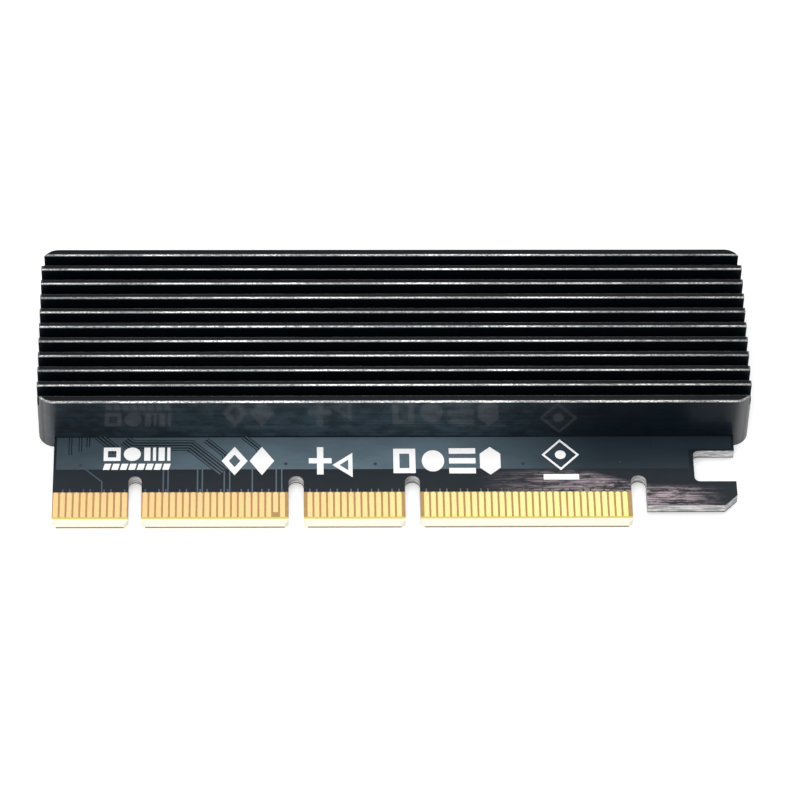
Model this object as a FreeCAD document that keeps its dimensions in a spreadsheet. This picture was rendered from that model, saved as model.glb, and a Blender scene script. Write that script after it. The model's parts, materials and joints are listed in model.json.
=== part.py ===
import FreeCAD, Part
import os
import Sketcher

# Adapter card that carries a solid-state drive module in a computer's expansion slot.
#
# A finned cover, milled from an aluminium profile, sits over a card-edge circuit board and wraps
# its two ends and its far edge. Four screws come up through the board into the cover. The module
# lies in the bay under the cover, between a socket at the left end and a threaded spacer at the
# right end.
#
# Frame: X runs along the contact edge, +Y points from the contact edge to the far face of the
# cover, and +Z is up out of the fins. X = 0 is the middle of the card, Y = 0 is halfway between
# the contact edge and the cover's far face, and Z = 0 is the plane of the cover's lower rim,
# which the card rests on. All sizes are in millimetres.

SIZES = [
    # name, value, what it is
    ("margin", 2.0, "how far a cutting outline runs past the material"),
    ("board_length", 100.0, "circuit board along the contact edge"),
    ("board_depth", 43.3, "circuit board from the contact edge to its far edge"),
    ("board_thickness", 1.6, "circuit board laminate"),
    ("board_lift", 0.6, "board's underside above the cover's lower rim"),
    ("board_gap", 0.1, "clearance between the board's edge and the cover's skirt"),
    ("contact_pitch", 1.0, "edge contact to edge contact"),
    ("contact_width", 0.7, "edge contact"),
    ("contact_reach", 5.6, "contact edge to the inner end of a contact"),
    ("contact_thickness", 0.05, "plated copper above the laminate"),
    ("contact_corner", 0.2, "cut corners at a contact's inner end"),
    ("presence_setback", 0.9, "how much a presence contact stops short"),
    ("first_contact_inset", 0.5, "board's left end to the middle of the first contact"),
    ("key_step", 2.0, "extra step that the key notch puts into the contact row"),
    ("bevel_length", 1.0, "lead-in bevel across the board's face"),
    ("bevel_drop", 0.36, "lead-in bevel into the board's thickness"),
    ("tongue_corner", 0.6, "cut corners of each tongue of the contact edge"),
    ("notch_depth", 8.6, "contact edge to the crown of a notch"),
    ("key_notch_width", 1.9, "notch for the slot's key"),
    ("relief_notch_width", 2.2, "notches for the end walls of shorter slots"),
    ("end_notch_width", 2.25, "notch beside the latch hook"),
    ("end_notch_step", 2.13, "last contact to the middle of the end notch"),
    ("hook_room", 16.5, "board kept free of contacts beyond the last one, for the latch hook"),
    ("hook_lift", 3.0, "latch hook's lower edge above the contact edge"),
    ("hook_corner", 1.9, "cut corner of the latch hook"),
    ("latch_base", 7.5, "latch slot's lower wall above the contact edge"),
    ("latch_width", 5.7, "latch slot across its mouth"),
    ("latch_depth", 6.1, "latch slot from the hook's tip to its inner wall"),
    ("latch_radius", 0.8, "inner corners of the latch slot"),
    ("cover_front", 16.0, "cover's near wall behind the contact edge"),
    ("cover_corner", 2.5, "upright corners of the cover"),
    ("seat_chamfer", 0.15, "broken edge of the near wall where it meets the board"),
    ("skirt_wall", 2.3, "skirt round the board's ends and far edge"),
    ("top_chamfer", 0.25, "broken edge round the cover's top"),
    ("fin_thickness", 0.85, "each inner fin"),
    ("edge_fin_thickness", 1.225, "the two outermost fins"),
    ("fin_height", 2.5, "groove floor to fin tip"),
    ("fin_chamfer", 0.2, "broken edges of the fins' tips"),
    ("groove_round", 0.4, "rounding of the groove floors"),
    ("roof_thickness", 0.8, "metal between the bay and the groove floors"),
    ("bay_height", 4.9, "board's face to the bay's ceiling"),
    ("bay_end_wall", 6.4, "solid block at each end of the bay"),
    ("bay_side_room", 0.8, "socket's end from the side of the bay"),
    ("bay_corner", 1.5, "upright corners of the bay"),
    ("screw_thread", 2.0, "all screw threads"),
    ("thread_gap", 0.03, "radial clearance of a thread in its hole"),
    ("screw_hole", 2.4, "cover screw's clearance hole in the board"),
    ("screw_end_inset", 2.1, "cover screw from the board's end"),
    ("screw_front_inset", 3.3, "near cover screws behind the cover's near wall"),
    ("screw_back_inset", 3.0, "far cover screws from the board's far edge"),
    ("screw_head", 3.8, "cover screw's head diameter"),
    ("screw_head_height", 0.5, "cover screw's thin head"),
    ("screw_length", 4.5, "cover screw under its head"),
    ("screw_hole_depth", 3.6, "tapped holes in the cover"),
    ("recess_width", 0.45, "arm of the cross recess in a screw head"),
    ("recess_length", 2.0, "span of the cross recess in a screw head"),
    ("recess_depth", 0.3, "depth of the cross recess in a screw head"),
    ("module_length", 80.0, "drive module, contact end to screw notch"),
    ("module_entry", 4.3, "how far the module goes into the socket"),
    ("socket_length", 21.9, "socket across the module"),
    ("socket_depth", 8.7, "socket along the module"),
    ("socket_height", 4.2, "socket above the board"),
    ("socket_inset", 1.2, "socket's rear face from the end of the bay"),
    ("spacer_room", 6.4, "spacer's axis from the other end of the bay"),
    ("shorter_module", 60.0, "first of the shorter modules that have a spacer hole"),
    ("short_module", 42.0, "second of them"),
    ("shortest_module", 30.0, "third of them"),
    ("mouth_floor", 2.35, "socket mouth's lower wall above the board"),
    ("mouth_height", 1.0, "socket mouth"),
    ("mouth_depth", 4.6, "socket mouth"),
    ("mouth_length", 20.2, "socket mouth across the module"),
    ("mouth_key_offset", 6.125, "key rib from the socket's middle"),
    ("mouth_key_width", 1.0, "key rib"),
    ("pin_pitch", 0.5, "socket contact to socket contact in one row"),
    ("pin_width", 0.2, "socket contact"),
    ("pin_thickness", 0.2, "socket contact strip"),
    ("pin_gap", 0.05, "clearance of a socket contact in its channel"),
    ("pin_foot", 0.6, "soldered foot that shows beside the socket"),
    ("pin_bump", 0.3, "how far a contact springs into the mouth"),
    ("pin_bend", 1.0, "length of the sprung tip of a contact"),
    ("pin_lip", 0.9, "socket's front face to the tip of an upper contact"),
    ("pin_riser_inset", 1.0, "socket's front face to the riser of a lower contact"),
    ("pin_tip_inset", 0.5, "mouth's inner wall to the tip of a lower contact"),
    ("peg_diameter", 1.1, "socket's locating pegs"),
    ("peg_length", 1.2, "socket's locating pegs"),
    ("peg_gap", 0.05, "radial clearance of a peg in the board"),
    ("peg_spread", 9.5, "peg from the socket's middle"),
    ("tab_sheet", 0.2, "socket's hold-down tabs"),
    ("tab_length", 2.4, "socket's hold-down tabs"),
    ("tab_height", 1.4, "socket's hold-down tabs"),
    ("tab_foot", 0.6, "socket's hold-down tabs on the board"),
    ("spacer_flange", 5.5, "module spacer"),
    ("spacer_height", 2.45, "module spacer above the board"),
    ("spacer_neck", 3.5, "module spacer's neck through the board"),
    ("spacer_gap", 0.05, "radial clearance of the neck in the board"),
    ("neck_setback", 0.1, "neck's end inside the board's underside"),
    ("module_screw_head", 4.4, "module screw's head diameter"),
    ("module_screw_head_height", 0.7, "module screw's head"),
    ("module_screw_length", 3.0, "module screw under its head"),
    ("pad_length", 70.0, "thermal pad"),
    ("pad_width", 20.0, "thermal pad"),
    ("pad_thickness", 0.5, "thermal pad"),
    ("chip_inset", 1.6, "column of small parts from the end of the bay"),
    ("capacitor_length", 2.0, "ceramic capacitor, end to end"),
    ("capacitor_width", 1.25, "ceramic capacitor"),
    ("capacitor_height", 1.25, "ceramic capacitor"),
    ("capacitor_band", 0.4, "capacitor's metal end"),
    ("capacitor_pitch", 3.0, "capacitor to capacitor"),
    ("capacitor_start", -9.0, "first capacitor from the bay's middle"),
    ("resistor_length", 1.6, "chip resistor, end to end"),
    ("resistor_width", 0.8, "chip resistor"),
    ("resistor_height", 0.45, "chip resistor"),
    ("resistor_band", 0.3, "resistor's metal end"),
    ("resistor_pitch", 2.3, "resistor to resistor"),
    ("resistor_start", 5.6, "first resistor from the bay's middle"),
]

GROOVE_COUNT = 10
KEY_CONTACT_NUMBER = 11  # the last contact before the key notch
FRONT_PRESENCE_NUMBER = 31
REAR_PRESENCE_NUMBER = 1
LONG_RUN_COUNT = 29  # socket contacts on the long side of the key rib, in each row
KEY_GAP_COUNT = 4  # contacts that the key rib takes from each row
UPPER_SHORT_RUN_COUNT = 5
LOWER_SHORT_RUN_COUNT = 4
CAPACITOR_COUNT = 5
RESISTOR_COUNT = 3
MARGIN = "Sizes.margin"
TOUCH = 0.001

# Sizes that follow from the driving ones. Lengthwise the bay takes the module, the cover takes the
# bay and the board fills the cover's recess. Across the card the board's depth sets the cover's far
# wall, and the bay lies midway between the cover's walls.
BAY_LENGTH = (
    "(Sizes.socket_inset + Sizes.socket_depth - Sizes.module_entry"
    " + Sizes.module_length + Sizes.spacer_room)"
)
BAY_WIDTH = "(Sizes.socket_length + 2 * Sizes.bay_side_room)"
HALF_BAY = f"({BAY_LENGTH} / 2)"
HALF_COVER = f"({HALF_BAY} + Sizes.bay_end_wall)"
HALF_RECESS = f"({HALF_COVER} - Sizes.skirt_wall)"
HALF_BOARD = f"({HALF_RECESS} - Sizes.board_gap)"
HOOK_TIP = f"(Sizes.board_length - {HALF_BOARD})"
RECESS_BACK = "(Sizes.board_depth + Sizes.board_gap)"
COVER_BACK = f"({RECESS_BACK} + Sizes.skirt_wall)"
BAY_MIDDLE = f"((Sizes.cover_front + {COVER_BACK}) / 2)"
BAY_FRONT = f"({BAY_MIDDLE} - {BAY_WIDTH} / 2)"
BAY_BACK = f"({BAY_MIDDLE} + {BAY_WIDTH} / 2)"
BOARD_TOP = "(Sizes.board_lift + Sizes.board_thickness)"
CEILING = f"({BOARD_TOP} + Sizes.bay_height)"
GROOVE_FLOOR = f"({CEILING} + Sizes.roof_thickness)"
COVER_TOP = f"({GROOVE_FLOOR} + Sizes.fin_height)"
FIRST_GROOVE = "(Sizes.cover_front + Sizes.edge_fin_thickness)"
GROOVE_PITCH = (
    f"(({COVER_BACK} - Sizes.cover_front - 2 * Sizes.edge_fin_thickness"
    f" + Sizes.fin_thickness) / {GROOVE_COUNT})"
)
SCREW_X = f"({HALF_BOARD} - Sizes.screw_end_inset)"
SCREW_FRONT = "(Sizes.cover_front + Sizes.screw_front_inset)"
SCREW_BACK = "(Sizes.board_depth - Sizes.screw_back_inset)"
THREAD_BORE = "(Sizes.screw_thread + 2 * Sizes.thread_gap)"
SOCKET_REAR = f"(Sizes.socket_inset - {HALF_BAY})"
SPACER_X = f"({HALF_BAY} - Sizes.spacer_room)"
SPACER_HOLE = "(Sizes.spacer_neck + 2 * Sizes.spacer_gap)"
MOUTH_REAR = "(Sizes.socket_depth - Sizes.mouth_depth)"
MOUTH_TOP = "(Sizes.mouth_floor + Sizes.mouth_height)"
FIRST_PIN = "(-18.5 * Sizes.pin_pitch)"
PEG_HOLE = "(Sizes.peg_diameter + 2 * Sizes.peg_gap)"
PEG_X = "(Sizes.socket_depth / 2)"
CHIP_X = f"({HALF_BAY} - Sizes.chip_inset)"

doc = FreeCAD.newDocument("adapter_card")
sheet = doc.addObject("Spreadsheet::Sheet", "Sizes")
for row, (name, value, meaning) in enumerate(SIZES, start=1):
    sheet.set(f"A{row}", name)
    sheet.set(f"B{row}", str(value))
    sheet.set(f"C{row}", meaning)
    sheet.setAlias(f"B{row}", name)
doc.recompute()


def number(expression):
    """The value in millimetres that an expression over the sheet's sizes has now."""
    return float(sheet.evalExpression(expression))


# The contact row runs on towards the hook as far as the board's length leaves room for it.
ROW_ROOM = "(Sizes.board_length - Sizes.first_contact_inset - Sizes.key_step - Sizes.hook_room)"
LAST_CONTACT_NUMBER = 1 + int(number(f"{ROW_ROOM} / Sizes.contact_pitch") + TOUCH)
TONGUES = [(1, 11), (12, 32), (36, 49), (53, LAST_CONTACT_NUMBER)]  # first and last contact


# ---------------------------------------------------------------- bodies and sketches


def new_body(label, x="0", y="0", z="0"):
    """A body at a place given from the middle of the contact edge, at the height of the rim."""
    body = doc.addObject("PartDesign::Body", label)
    body.Label = label
    body.AllowCompound = True
    body.setExpression("Placement.Base.x", x)
    body.setExpression("Placement.Base.y", f"{y} - {COVER_BACK} / 2")
    body.setExpression("Placement.Base.z", z)
    return body


def origin_feature(body, role):
    return next(item for item in body.Origin.OriginFeatures if item.Role == role)


def new_sketch(body, name, plane="XY_Plane", offset="0"):
    """A sketch on one of the body's own origin planes, moved along the plane's normal."""
    sketch = body.newObject("Sketcher::SketchObject", name)
    sketch.AttachmentSupport = [(origin_feature(body, plane), "")]
    sketch.MapMode = "FlatFace"
    sketch.setExpression("AttachmentOffset.Base.z", offset)
    return sketch


def fix(sketch, kind, references, expression):
    """Add a dimension and bind it to an expression over the sheet."""
    index = sketch.addConstraint(Sketcher.Constraint(kind, *references, number(expression)))
    sketch.setExpression(f"Constraints[{index}]", expression)


def fix_point(sketch, geometry, point, x, y):
    fix(sketch, "DistanceX", (-1, 1, geometry, point), x)
    fix(sketch, "DistanceY", (-1, 1, geometry, point), y)


def draw_polygon(sketch, corners):
    """A closed outline of straight edges through pairs of expressions."""
    points = [FreeCAD.Vector(number(x), number(y), 0) for x, y in corners]
    first = sketch.GeometryCount
    count = len(points)
    for index in range(count):
        sketch.addGeometry(Part.LineSegment(points[index], points[(index + 1) % count]))
    for index, (x, y) in enumerate(corners):
        following = first + (index + 1) % count
        sketch.addConstraint(Sketcher.Constraint("Coincident", first + index, 2, following, 1))
        fix_point(sketch, first + index, 1, x, y)


def draw_rectangle(sketch, left, bottom, right, top):
    draw_polygon(sketch, [(left, bottom), (right, bottom), (right, top), (left, top)])


def draw_circle(sketch, x, y, diameter):
    centre = FreeCAD.Vector(number(x), number(y), 0)
    circle = sketch.addGeometry(Part.Circle(centre, FreeCAD.Vector(0, 0, 1), number(diameter) / 2))
    fix_point(sketch, circle, 3, x, y)
    fix(sketch, "Diameter", (circle,), diameter)


def draw_arch(sketch, middle, width, foot, crown):
    """A slot outline with a flat foot and a full-round crown."""
    x = number(middle)
    half = number(width) / 2
    low = number(foot)
    spring = number(crown) - half
    spring_line = f"{crown} - {width} / 2"
    base = sketch.addGeometry(
        Part.LineSegment(FreeCAD.Vector(x - half, low, 0), FreeCAD.Vector(x + half, low, 0))
    )
    right = sketch.addGeometry(
        Part.LineSegment(FreeCAD.Vector(x + half, low, 0), FreeCAD.Vector(x + half, spring, 0))
    )
    circle = Part.Circle(FreeCAD.Vector(x, spring, 0), FreeCAD.Vector(0, 0, 1), half)
    arc = sketch.addGeometry(Part.ArcOfCircle(circle, 0, 3.14159265))
    left = sketch.addGeometry(
        Part.LineSegment(FreeCAD.Vector(x - half, spring, 0), FreeCAD.Vector(x - half, low, 0))
    )
    for first, second in [((base, 2), (right, 1)), ((right, 2), (arc, 1)),
                          ((arc, 2), (left, 1)), ((left, 2), (base, 1))]:
        sketch.addConstraint(Sketcher.Constraint("Coincident", *first, *second))
    for line in (left, right):
        sketch.addConstraint(Sketcher.Constraint("Vertical", line))
    fix_point(sketch, arc, 3, middle, spring_line)
    fix(sketch, "Radius", (arc,), f"{width} / 2")
    for end in (1, 2):
        fix(sketch, "DistanceY", (-1, 1, arc, end), spring_line)
        fix(sketch, "DistanceY", (-1, 1, base, end), foot)


# ---------------------------------------------------------------- features


def pad(body, sketch, name, length):
    feature = body.newObject("PartDesign::Pad", name)
    feature.Profile = sketch
    feature.setExpression("Length", length)
    doc.recompute()
    return feature


def pocket(body, sketch, name, depth, upwards=False, symmetric=False):
    """Cut a sketch's outlines out of the body, and make sure that the cut took something."""
    before = body.Shape.Volume
    feature = body.newObject("PartDesign::Pocket", name)
    feature.Profile = sketch
    feature.setExpression("Length", depth)
    feature.Reversed = upwards
    feature.Midplane = symmetric
    doc.recompute()
    if body.Shape.Volume > before - TOUCH:
        raise RuntimeError(f"{name} cuts nothing out of {body.Label}")
    return feature


def pattern(body, feature, name, axis, pitch, count, axis_2=None, pitch_2="0"):
    """Repeat a feature along one of the body's axes, or a pair of times along a second one."""
    copies = body.newObject("PartDesign::LinearPattern", name)
    copies.Originals = [feature]
    copies.Direction = (origin_feature(body, axis), [""])
    copies.Mode = "Spacing"
    copies.setExpression("Offset", pitch)
    copies.Occurrences = count
    if axis_2:
        copies.Direction2 = (origin_feature(body, axis_2), [""])
        copies.Mode2 = "Spacing"
        copies.setExpression("Offset2", pitch_2)
        copies.Occurrences2 = 2
    body.Tip = copies
    doc.recompute()
    return copies


def revolve(body, sketch, name):
    """Turn a half profile drawn in X and Z about the body's upright axis."""
    feature = body.newObject("PartDesign::Revolution", name)
    feature.Profile = sketch
    feature.ReferenceAxis = (sketch, ["V_Axis"])
    feature.Angle = 360
    doc.recompute()
    return feature


def dress(body, kind, name, base, property_name, size, wanted):
    """Fillet or chamfer the edges of a feature that a test picks out."""
    edges = [f"Edge{index}" for index, edge in enumerate(base.Shape.Edges, 1) if wanted(edge)]
    feature = body.newObject(f"PartDesign::{kind}", name)
    feature.Base = (base, edges)
    feature.setExpression(property_name, size)
    doc.recompute()
    return feature


def upright_at(places):
    """A test for straight upright edges that stand at one of the given places in plan."""
    spots = [(number(x), number(y)) for x, y in places]

    def wanted(edge):
        box = edge.BoundBox
        upright = box.XLength < TOUCH and box.YLength < TOUCH
        return upright and any(
            abs(box.XMin - x) < TOUCH and abs(box.YMin - y) < TOUCH for x, y in spots
        )

    return wanted


def flat_at_height(height):
    """A test for edges that lie in one level plane."""
    level = number(height)
    return lambda edge: abs(edge.BoundBox.ZMin - level) + abs(edge.BoundBox.ZMax - level) < TOUCH


def level_along_x(depth, height):
    """A test for edges that run along X at one depth and height."""
    y = number(depth)
    z = number(height)

    def wanted(edge):
        box = edge.BoundBox
        along = box.YLength < TOUCH and box.ZLength < TOUCH
        return along and abs(box.YMin - y) < TOUCH and abs(box.ZMin - z) < TOUCH

    return wanted


def contact_x(position):
    """The middle of an edge contact, from the middle of the card."""
    step = " + Sizes.key_step" if position > KEY_CONTACT_NUMBER else ""
    return (
        f"(Sizes.first_contact_inset - {HALF_BOARD}"
        f" + {position - 1} * Sizes.contact_pitch{step})"
    )


END_NOTCH_X = f"({contact_x(LAST_CONTACT_NUMBER)} + Sizes.end_notch_step)"
NOTCHES = [
    # middle, width: the slot's key, two reliefs for shorter slots, and the end beside the hook
    (f"(({contact_x(11)} + {contact_x(12)}) / 2)", "Sizes.key_notch_width"),
    (f"(({contact_x(32)} + {contact_x(36)}) / 2)", "Sizes.relief_notch_width"),
    (f"(({contact_x(49)} + {contact_x(53)}) / 2)", "Sizes.relief_notch_width"),
    (END_NOTCH_X, "Sizes.end_notch_width"),
]


# ---------------------------------------------------------------- finned cover


def make_cover():
    body = new_body("finned_cover")
    sketch = new_sketch(body, "cover_plan")
    draw_rectangle(sketch, f"-{HALF_COVER}", "Sizes.cover_front", HALF_COVER, COVER_BACK)
    block = pad(body, sketch, "cover_block", COVER_TOP)

    corners = [
        (f"{side}{HALF_COVER}", depth)
        for side in ("", "-")
        for depth in ("Sizes.cover_front", COVER_BACK)
    ]
    rounded = dress(body, "Fillet", "cover_corners", block, "Radius", "Sizes.cover_corner",
                    upright_at(corners))
    dress(body, "Chamfer", "cover_top_edge", rounded, "Size", "Sizes.top_chamfer",
          flat_at_height(COVER_TOP))

    # Board recess, open towards the contact edge.
    sketch = new_sketch(body, "board_recess_plan")
    draw_rectangle(sketch, f"-{HALF_RECESS}", f"Sizes.cover_front - {MARGIN}",
                   HALF_RECESS, RECESS_BACK)
    recess = pocket(body, sketch, "board_recess", BOARD_TOP, upwards=True)
    dress(body, "Chamfer", "seat_edge", recess, "Size", "Sizes.seat_chamfer",
          level_along_x("Sizes.cover_front", BOARD_TOP))

    # Bay for the drive module.
    sketch = new_sketch(body, "bay_plan")
    draw_rectangle(sketch, f"-{HALF_BAY}", BAY_FRONT, HALF_BAY, BAY_BACK)
    bay = pocket(body, sketch, "module_bay", CEILING, upwards=True)
    corners = [(f"{side}{HALF_BAY}", depth) for side in ("", "-") for depth in (BAY_FRONT, BAY_BACK)]
    dress(body, "Fillet", "bay_corners", bay, "Radius", "Sizes.bay_corner", upright_at(corners))

    # Tapped holes for the cover screws.
    sketch = new_sketch(body, "cover_hole_plan", offset=BOARD_TOP)
    for x in (f"-{SCREW_X}", SCREW_X):
        for y in (SCREW_FRONT, SCREW_BACK):
            draw_circle(sketch, x, y, THREAD_BORE)
    pocket(body, sketch, "cover_holes", "Sizes.screw_hole_depth", upwards=True)

    # One groove with a rounded floor and broken lips, repeated to leave the fins.
    sketch = new_sketch(body, "groove_profile", plane="YZ_Plane")
    draw_groove(sketch)
    groove = pocket(body, sketch, "groove", f"2 * {HALF_COVER} + 2 * {MARGIN}", symmetric=True)
    pattern(body, groove, "grooves", "Y_Axis", GROOVE_PITCH, GROOVE_COUNT)
    return body


def draw_groove(sketch):
    """One groove across the fins: broken lips, straight walls and a floor with rounded corners."""
    near = FIRST_GROOVE
    far = f"({FIRST_GROOVE} + {GROOVE_PITCH} - Sizes.fin_thickness)"
    lip = "Sizes.fin_chamfer"
    radius = "Sizes.groove_round"
    above = f"({COVER_TOP} + {MARGIN})"
    stops = [
        (f"{near} - {lip}", above), (f"{near} - {lip}", COVER_TOP),
        (near, f"{COVER_TOP} - {lip}"), (near, f"{GROOVE_FLOOR} + {radius}"),
        (f"{near} + {radius}", GROOVE_FLOOR), (f"{far} - {radius}", GROOVE_FLOOR),
        (far, f"{GROOVE_FLOOR} + {radius}"), (far, f"{COVER_TOP} - {lip}"),
        (f"{far} + {lip}", COVER_TOP), (f"{far} + {lip}", above),
    ]
    # The edges that start at these two stops are quarter circles about these centres.
    near_round, far_round = 3, 5
    centres = {
        near_round: (f"{near} + {radius}", f"{GROOVE_FLOOR} + {radius}"),
        far_round: (f"{far} - {radius}", f"{GROOVE_FLOOR} + {radius}"),
    }
    points = [FreeCAD.Vector(number(x), number(y), 0) for x, y in stops]
    count = len(points)
    for index, start in enumerate(points):
        end = points[(index + 1) % count]
        if index in centres:
            x, y = centres[index]
            centre = FreeCAD.Vector(number(x), number(y), 0)
            middle = centre + ((start + end) / 2 - centre).normalize() * number(radius)
            sketch.addGeometry(Part.Arc(start, middle, end))
        else:
            sketch.addGeometry(Part.LineSegment(start, end))
    ends = [start_and_end(sketch, index, points[index]) for index in range(count)]
    for index, (x, y) in enumerate(stops):
        following = (index + 1) % count
        sketch.addConstraint(
            Sketcher.Constraint("Coincident", index, ends[index][1], following, ends[following][0])
        )
        fix_point(sketch, index, ends[index][0], x, y)
    for index in centres:
        fix(sketch, "Radius", (index,), radius)


def start_and_end(sketch, index, start):
    """Which end of an edge is its start in the outline: an arc may be kept the other way round."""
    kept = sketch.getPoint(index, 1)
    return (1, 2) if (kept - start).Length < TOUCH else (2, 1)


# ---------------------------------------------------------------- circuit board


def make_board():
    body = new_body("circuit_board", z="Sizes.board_lift")
    sketch = new_sketch(body, "board_plan")
    draw_rectangle(sketch, f"-{HALF_BOARD}", "Sizes.cover_front", HALF_BOARD, "Sizes.board_depth")
    pad(body, sketch, "covered_board", "Sizes.board_thickness")
    cut_to = "Sizes.board_thickness"

    # The strip in front of the cover has the board's own length, wherever the cover ends.
    sketch = new_sketch(body, "strip_plan")
    draw_rectangle(sketch, f"-{HALF_BOARD}", "0", HOOK_TIP, "Sizes.cover_front")
    pad(body, sketch, "edge_strip", "Sizes.board_thickness")

    # The edge steps back under the latch hook.
    sketch = new_sketch(body, "hook_step_plan")
    draw_rectangle(sketch, END_NOTCH_X, f"-{MARGIN}", f"{HOOK_TIP} + {MARGIN}", "Sizes.hook_lift")
    pocket(body, sketch, "hook_step", cut_to, upwards=True)

    sketch = new_sketch(body, "notch_plan")
    for middle, width in NOTCHES:
        draw_arch(sketch, middle, width, f"-{MARGIN}", "Sizes.notch_depth")
    pocket(body, sketch, "notches", cut_to, upwards=True)

    inner_wall = f"({HOOK_TIP} - Sizes.latch_depth)"
    latch_top = "(Sizes.latch_base + Sizes.latch_width)"
    sketch = new_sketch(body, "latch_slot_plan")
    draw_rectangle(sketch, inner_wall, "Sizes.latch_base", f"{HOOK_TIP} + {MARGIN}", latch_top)
    latch = pocket(body, sketch, "latch_slot", cut_to, upwards=True)
    rounded = dress(body, "Fillet", "latch_corners", latch, "Radius", "Sizes.latch_radius",
                    upright_at([(inner_wall, "Sizes.latch_base"), (inner_wall, latch_top)]))
    hooked = dress(body, "Chamfer", "hook_chamfer", rounded, "Size", "Sizes.hook_corner",
                   upright_at([(HOOK_TIP, "Sizes.hook_lift")]))

    tongue_ends = [(f"-{HALF_BOARD}", "0")]
    for middle, width in NOTCHES:
        tongue_ends += [(f"{middle} - {width} / 2", "0"), (f"{middle} + {width} / 2", "0")]
    dress(body, "Chamfer", "tongue_chamfers", hooked, "Size", "Sizes.tongue_corner",
          upright_at(tongue_ends))

    # Lead-in bevels on both faces of the contact edge.
    sketch = new_sketch(body, "bevel_profile", plane="YZ_Plane")
    top = "Sizes.board_thickness"
    draw_polygon(sketch, [(f"-{MARGIN}", top), ("Sizes.bevel_length", top),
                          ("0", f"{top} - Sizes.bevel_drop"),
                          (f"-{MARGIN}", f"{top} - Sizes.bevel_drop")])
    draw_polygon(sketch, [(f"-{MARGIN}", "0"), ("Sizes.bevel_length", "0"),
                          ("0", "Sizes.bevel_drop"), (f"-{MARGIN}", "Sizes.bevel_drop")])
    pocket(body, sketch, "bevels", "2 * Sizes.board_length", symmetric=True)

    sketch = new_sketch(body, "hole_plan")
    for x in (f"-{SCREW_X}", SCREW_X):
        for y in (SCREW_FRONT, SCREW_BACK):
            draw_circle(sketch, x, y, "Sizes.screw_hole")
    draw_circle(sketch, SPACER_X, BAY_MIDDLE, SPACER_HOLE)
    for name in ("shorter_module", "short_module", "shortest_module"):
        draw_circle(sketch, f"{SPACER_X} - Sizes.module_length + Sizes.{name}", BAY_MIDDLE,
                    SPACER_HOLE)
    for side in ("-", "+"):
        draw_circle(sketch, f"{SOCKET_REAR} + {PEG_X}", f"{BAY_MIDDLE} {side} Sizes.peg_spread",
                    PEG_HOLE)
    pocket(body, sketch, "holes", cut_to, upwards=True)
    return body


def make_contacts(label, first, last, height, short_contact):
    """The plated contacts on one face of one tongue, each a separate solid."""
    body = new_body(label, z=height)
    middle = contact_x(first)
    left = f"({middle} - Sizes.contact_width / 2)"
    right = f"({middle} + Sizes.contact_width / 2)"
    reach = "Sizes.contact_reach"
    corner = "Sizes.contact_corner"
    sketch = new_sketch(body, f"{label}_outline")
    draw_polygon(sketch, [
        (left, "Sizes.bevel_length"), (right, "Sizes.bevel_length"),
        (right, f"{reach} - {corner}"), (f"{right} - {corner}", reach),
        (f"{left} + {corner}", reach), (left, f"{reach} - {corner}"),
    ])
    contact = pad(body, sketch, f"{label}_contact", "Sizes.contact_thickness")
    pattern(body, contact, f"{label}_row", "X_Axis", "Sizes.contact_pitch", last - first + 1)
    if first <= short_contact <= last:
        middle = contact_x(short_contact)
        sketch = new_sketch(body, f"{label}_setback")
        draw_rectangle(sketch, f"{middle} - Sizes.contact_pitch / 2", "0",
                       f"{middle} + Sizes.contact_pitch / 2",
                       "Sizes.bevel_length + Sizes.presence_setback")
        pocket(body, sketch, f"{label}_presence", "Sizes.contact_thickness", upwards=True)
    return body


def make_all_contacts():
    bodies = []
    faces = [
        ("front", BOARD_TOP, FRONT_PRESENCE_NUMBER),
        ("rear", "(Sizes.board_lift - Sizes.contact_thickness)", REAR_PRESENCE_NUMBER),
    ]
    for face, height, short_contact in faces:
        for tongue, (first, last) in enumerate(TONGUES, start=1):
            bodies.append(make_contacts(f"{face}_contacts_{tongue}", first, last, height,
                                        short_contact))
    return bodies


# ---------------------------------------------------------------- module socket


def socket_body(label):
    return new_body(label, x=SOCKET_REAR, y=BAY_MIDDLE, z=BOARD_TOP)


# Lines of the two contact strips and of their channels, from the socket's rear face and the board.
STRIP = "Sizes.pin_thickness"
PIN_GAP = "Sizes.pin_gap"
UPPER_STRIP = f"({MOUTH_TOP} + 2 * {PIN_GAP})"  # underside of the upper strip's straight part
UPPER_END = "(Sizes.socket_depth - Sizes.pin_lip)"
LOWER_STRIP = f"(Sizes.mouth_floor - 2 * {PIN_GAP} - {STRIP})"  # underside of the lower strip
LOWER_RISER = "(Sizes.socket_depth - Sizes.pin_riser_inset)"  # front face of its upright part
LOWER_END = f"({MOUTH_REAR} + Sizes.pin_tip_inset)"


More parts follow.
